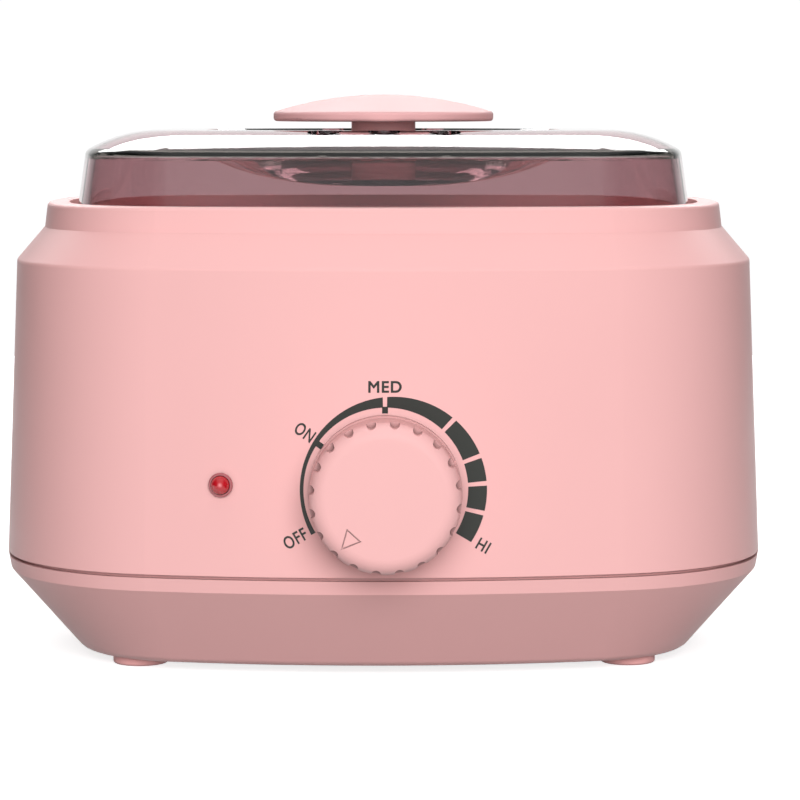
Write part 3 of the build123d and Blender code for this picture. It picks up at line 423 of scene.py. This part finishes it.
def paint_nodes(nodes, skin, marks):
    """Gives every CAD node its finish."""
    lid_foot = min(v.co.z for v in nodes["lid_shell"].data.vertices)
    steel = metal(marks, "plated steel", (0.62, 0.62, 0.63), (2500.0, 2500.0, 600.0), roughness=0.32)
    brass = metal(marks, "turned brass", (0.78, 0.56, 0.24), (2500.0, 2500.0, 600.0), roughness=0.3)
    black = moulded(skin, "black plastic", (0.02, 0.02, 0.022), roughness=0.45)
    ceramic = moulded(skin, "fired ceramic", (0.78, 0.74, 0.66), grain=0.5, depth=0.4, roughness=0.6)
    finishes = {
        "upper_housing": moulded(skin, "housing plastic", PINK, roughness=0.42, Specular_IOR_Level=0.3),
        "lower_housing": moulded(skin, "base plastic", PINK, roughness=0.45, Specular_IOR_Level=0.25),
        "feet": moulded(skin, "foot plastic", (0.84, 0.42, 0.41), grain=0.4, depth=0.3, roughness=0.55),
        # painted shade on the knob's sides and the wall next to them, reaching 10 mm
        "knob": moulded(skin, "knob plastic", PINK, roughness=0.4, painted_shade=0.9, shade_reach=10.0),
        # the handle: a darker copy of the pink plastic, painted shade against the light on its dome, and
        # painted shade on the neck under its disc
        "lid_handle": moulded(
            skin, "handle plastic", (0.76, 0.42, 0.42),
            roughness=0.5, painted_shade=0.9, shade_reach=9.0, Specular_IOR_Level=0.15,
        ),
        "lid_shell": smoked_clear(lid_foot),
        "led_holder": moulded(skin, "lamp ring", (0.38, 0.09, 0.10), roughness=0.2, Coat_Weight=0.6),
        "led_lens": lens_with_highlight(skin, nodes["led_lens"]),
        "led_board": moulded(skin, "circuit board", (0.05, 0.22, 0.09), grain=0.6, depth=0.4, roughness=0.5),
        "wax_pot": metal(marks, "pot aluminium", (0.56, 0.57, 0.59), (150.0, 150.0, 6000.0), roughness=0.28),
        "pot_bail": metal(marks, "bail steel", (0.66, 0.66, 0.67), (3000.0, 300.0, 300.0), roughness=0.2),
        "heating_well": metal(
            marks, "well aluminium", (0.50, 0.51, 0.53), (150.0, 150.0, 4000.0), roughness=0.38
        ),
        "heater_band": metal(
            marks, "heater jacket", (0.5, 0.47, 0.42), (400.0, 400.0, 2500.0), roughness=0.45
        ),
        "insulation_wrap": moulded(
            skin, "fibre blanket", (0.82, 0.80, 0.74), grain=1.2, depth=1.0, roughness=0.9, mottle=0.25
        ),
    }
    steel_nodes = (
        "base_screws", "well_screws", "band_screw", "fuse_clip", "thermostat_nut", "thermostat_shaft",
        "lid_handle_screw",
    )
    finishes.update(dict.fromkeys(steel_nodes, steel))
    finishes.update(dict.fromkeys(("inlet_pins", "terminal_screws", "knob_insert"), brass))
    finishes.update(dict.fromkeys(("power_inlet", "terminal_block"), black))
    finishes.update(dict.fromkeys(("thermostat_body", "thermal_fuse"), ceramic))
    for name, node in nodes.items():
        node.data.materials.clear()
        node.data.materials.append(finishes[name])


def reach(circle, turn):
    """How far out from the dial's centre a circle of the scale lies, at an angle clockwise from the top."""
    radius, x, z = circle
    toward = x * math.sin(turn) + z * math.cos(turn)
    return toward + math.sqrt(radius ** 2 - x ** 2 - z ** 2 + toward ** 2)


def on_panel(panel, start):
    """The point of the front wall straight behind a point, and which way the wall faces there."""
    hit, normal, _, _ = panel.ray_cast(start, INWARD)
    return hit, normal


def printed(name, panel, corners, faces, ink):
    """A printed patch: its flat shape (x, z), in millimetres from the dial's centre, laid on the wall."""
    flat = bmesh.new()
    verts = [flat.verts.new((x, z, 0.0)) for x, z in corners]
    for face in faces:
        flat.faces.new([verts[i] for i in face])
    bmesh.ops.remove_doubles(flat, verts=flat.verts, dist=RING_WELD)
    return lay_on_panel(name, panel, flat, ink)


def lay_on_panel(name, panel, flat, ink):
    """Lifts a flat patch off the panel by its ink's thickness and closes its sides down into the panel."""
    for v in flat.verts:
        hit, normal = on_panel(panel, Vector((v.co.x * MM, FAR_OUT, DIAL_Z + v.co.y * MM)))
        v.co = hit + normal * PRINT_PROUD * MM
    rim = [e for e in flat.edges if e.is_boundary]
    made = bmesh.ops.extrude_edge_only(flat, edges=rim)
    for v in [g for g in made["geom"] if isinstance(g, bmesh.types.BMVert)]:
        hit, normal = on_panel(panel, v.co + STEP_BACK)
        v.co = hit - normal * PRINT_SUNK * MM
    bmesh.ops.recalc_face_normals(flat, faces=flat.faces)
    mesh = bpy.data.meshes.new(name)
    flat.to_mesh(mesh)
    flat.free()
    mesh.materials.append(ink)
    piece = bpy.data.objects.new(name, mesh)
    bpy.context.scene.collection.objects.link(piece)
    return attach(piece, "housing")


def ring_segment(start, end):
    """Corners and faces of the printed ring from one angle to another, with three corners across it."""
    steps = max(2, round((end - start) / SCALE_STEP))
    corners = []
    faces = []
    for i in range(steps + 1):
        angle = start + (end - start) * i / steps
        turn = math.radians(angle)
        inner = reach(SCALE_INNER, turn)
        outer = reach(SCALE_OUTER, turn)
        for radius in (inner, (inner + outer) / 2, outer):
            corners.append((radius * math.sin(turn), radius * math.cos(turn)))
        if i:
            for j in range(2):
                a = (i - 1) * 3 + j
                faces.append((a, a + 1, a + 4, a + 3))
    return corners, faces


def print_scale(panel, ink):
    """The ring in its segments, the two ticks inside it, and the four labels."""
    gap = math.degrees(SCALE_GAP_WIDTH / 2 / SCALE_OUTER[0])
    starts = [-SCALE_END] + [g + gap for g in SCALE_GAPS]
    ends = [g - gap for g in SCALE_GAPS] + [SCALE_END]
    for number, (start, end) in enumerate(zip(starts, ends), 1):
        corners, faces = ring_segment(start, end)
        printed(f"scale_segment_{number}", panel, corners, faces, ink)
    for number, angle in enumerate(TICK_ANGLES, 1):
        turn = math.radians(angle)
        out = (math.sin(turn), math.cos(turn))
        side = (math.cos(turn), -math.sin(turn))
        corners = []
        for along, across in ((-1, -0.5), (-1, 0.5), (TICK_FOOT, 0.5), (TICK_FOOT, -0.5)):
            radius = reach(SCALE_INNER, turn) + along * TICK_SIZE
            corners.append(tuple(radius * o + across * TICK_SIZE * w for o, w in zip(out, side)))
        printed(f"scale_tick_{number}", panel, corners, [(0, 1, 2, 3)], ink)
    for name, label in LABELS.items():
        print_label(name, panel, label, ink)


def embolden(flat, ink_width):
    """Moves the edge of a flat patch outwards, as ink that spreads past its outline."""
    outward = {}
    for edge in flat.edges:
        if not edge.is_boundary:
            continue
        first, second = (v.co for v in edge.verts)
        course = (second - first).normalized()
        out = Vector((course.y, -course.x, 0.0))
        inside = edge.link_faces[0].calc_center_median() - (first + second) / 2
        if out.dot(inside) > 0:
            out.negate()
        for v in edge.verts:
            outward.setdefault(v, []).append(out)
    for v, outs in outward.items():
        mean = sum(outs, Vector((0.0, 0.0, 0.0))).normalized()
        v.co += mean * ink_width / max(SHARPEST, mean.dot(outs[0]))


def print_label(name, panel, label, ink):
    """A label in plain capitals, centred on its place and turned clockwise."""
    text, middle, turn, cap, width, bold = label
    curve = bpy.data.curves.new(name + "_text", "FONT")
    curve.body = text
    curve.size = 1.0
    curve.space_character = LETTER_SPACING
    source = bpy.data.objects.new(name + "_text", curve)
    bpy.context.scene.collection.objects.link(source)
    bpy.context.view_layer.update()
    mesh = bpy.data.meshes.new_from_object(source.evaluated_get(bpy.context.evaluated_depsgraph_get()))
    flat = bmesh.new()
    flat.from_mesh(mesh)
    bpy.data.objects.remove(source)
    bpy.data.meshes.remove(mesh)
    bmesh.ops.triangulate(flat, faces=flat.faces)
    low = [min(v.co[i] for v in flat.verts) for i in (0, 1)]
    high = [max(v.co[i] for v in flat.verts) for i in (0, 1)]
    size = (cap - 2 * bold) / (high[1] - low[1])
    centre = Vector(((low[0] + high[0]) / 2, (low[1] + high[1]) / 2, 0.0))
    spin = Matrix.Rotation(math.radians(-turn), 4, "Z")
    for v in flat.verts:
        local = v.co - centre
        local = Vector((local.x * size * width, local.y * size, 0.0))
        v.co = spin @ local + Vector((*middle, 0.0))
    bmesh.ops.remove_doubles(flat, verts=flat.verts, dist=LETTER_WELD)
    embolden(flat, bold)
    return lay_on_panel(name, panel, flat, ink)


def soft_box(name, place, size, power, mirrored, lights_matt):
    """A soft box that faces the warmer."""
    data = bpy.data.lights.new(name, "AREA")
    data.shape = "RECTANGLE"
    data.size, data.size_y = size
    data.energy = power
    light = bpy.data.objects.new(name, data)
    light.location = place
    light.rotation_euler = (Vector(LIGHT_AIM) - Vector(place)).to_track_quat("-Z", "Y").to_euler()
    light.visible_glossy = mirrored
    light.visible_transmission = False
    light.visible_diffuse = lights_matt
    bpy.context.scene.collection.objects.link(light)


def surround():
    """A white room with grey flags at both sides, dimmed where it only fills in the shadows."""
    world = bpy.data.worlds.new("surround")
    bpy.context.scene.world = world
    world.use_nodes = True
    tree = world.node_tree
    tree.nodes.clear()
    course = split_axes(tree, tree.nodes.new("ShaderNodeTexCoord").outputs["Generated"])
    sideways = math_node(tree, "ABSOLUTE", course["X"])
    room = ramp(tree, sideways, (FLAG_START, FLAG_FULL), (ROOM_WHITE, FLAG_GREY), smooth=True)
    path = tree.nodes.new("ShaderNodeLightPath")
    dimming = math_node(tree, "MULTIPLY", path.outputs["Is Diffuse Ray"], ROOM_FILL - 1.0)
    strength = math_node(tree, "MULTIPLY", room, math_node(tree, "ADD", dimming, 1.0))
    seen = tree.nodes.new("ShaderNodeMix")
    tree.links.new(path.outputs["Is Camera Ray"], seen.inputs["Factor"])
    tree.links.new(strength, seen.inputs["A"])
    seen.inputs["B"].default_value = ROOM_WHITE
    glow = tree.nodes.new("ShaderNodeBackground")
    glow.inputs["Color"].default_value = (1.0, 1.0, 1.0, 1.0)
    tree.links.new(seen.outputs["Result"], glow.inputs["Strength"])
    tree.links.new(glow.outputs[0], tree.nodes.new("ShaderNodeOutputWorld").inputs["Surface"])


def pale_floor():
    """A round sheet of white paper; its bounce is kept low so that the base stays in shade."""
    mesh = bpy.data.meshes.new("floor")
    disc = bmesh.new()
    bmesh.ops.create_circle(disc, cap_ends=True, segments=FLOOR_CORNERS, radius=FLOOR_R)
    disc.to_mesh(mesh)
    disc.free()
    floor = bpy.data.objects.new("floor", mesh)
    bpy.context.scene.collection.objects.link(floor)
    paper = Finish("pale floor")
    paper.set(Roughness=0.9, Specular_IOR_Level=0.1, Emission_Color=(1.0, 1.0, 1.0, 1.0))
    bounced = paper.node("ShaderNodeLightPath").outputs["Is Diffuse Ray"]
    tone = paper.blend(bounced, (FLOOR_SEEN,) * 3, (FLOOR_BOUNCE,) * 3)
    paper.join(tone, paper.shader.inputs["Base Color"])
    lift = ramp(paper.tree, bounced, (0.0, 1.0), (FLOOR_GLOW, 0.0))
    paper.join(lift, paper.shader.inputs["Emission Strength"])
    mesh.materials.append(paper.material)


def studio():
    """The surround, the floor, the soft boxes and the camera."""
    surround()
    pale_floor()
    for name, values in LIGHTS.items():
        soft_box(name, *values)

    data = bpy.data.cameras.new("camera")
    data.lens = CAMERA_LENS
    data.sensor_width = SENSOR_WIDTH
    camera = bpy.data.objects.new("camera", data)
    camera.location = CAMERA_AT
    camera.rotation_euler = (math.radians(90.0 - CAMERA_DOWN), 0.0, math.radians(-CAMERA_RIGHT))
    bpy.context.scene.collection.objects.link(camera)
    bpy.context.scene.camera = camera
    bpy.context.scene.view_settings.view_transform = "Standard"


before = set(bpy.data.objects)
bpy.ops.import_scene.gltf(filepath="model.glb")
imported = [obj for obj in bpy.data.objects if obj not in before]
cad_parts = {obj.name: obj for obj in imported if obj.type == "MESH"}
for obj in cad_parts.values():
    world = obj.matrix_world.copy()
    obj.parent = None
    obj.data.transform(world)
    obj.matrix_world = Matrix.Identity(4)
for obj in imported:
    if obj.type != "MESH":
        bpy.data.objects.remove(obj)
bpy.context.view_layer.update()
studio()
skin = moulded_skin()
paint_nodes(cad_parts, skin, worked_metal())
ink = moulded(skin, "printed ink", INK, grain=0.12, depth=0.3, roughness=0.5)
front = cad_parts["upper_housing"].data
panel = BVHTree.FromPolygons([v.co for v in front.vertices], [tuple(p.vertices) for p in front.polygons])
print_scale(panel, ink)
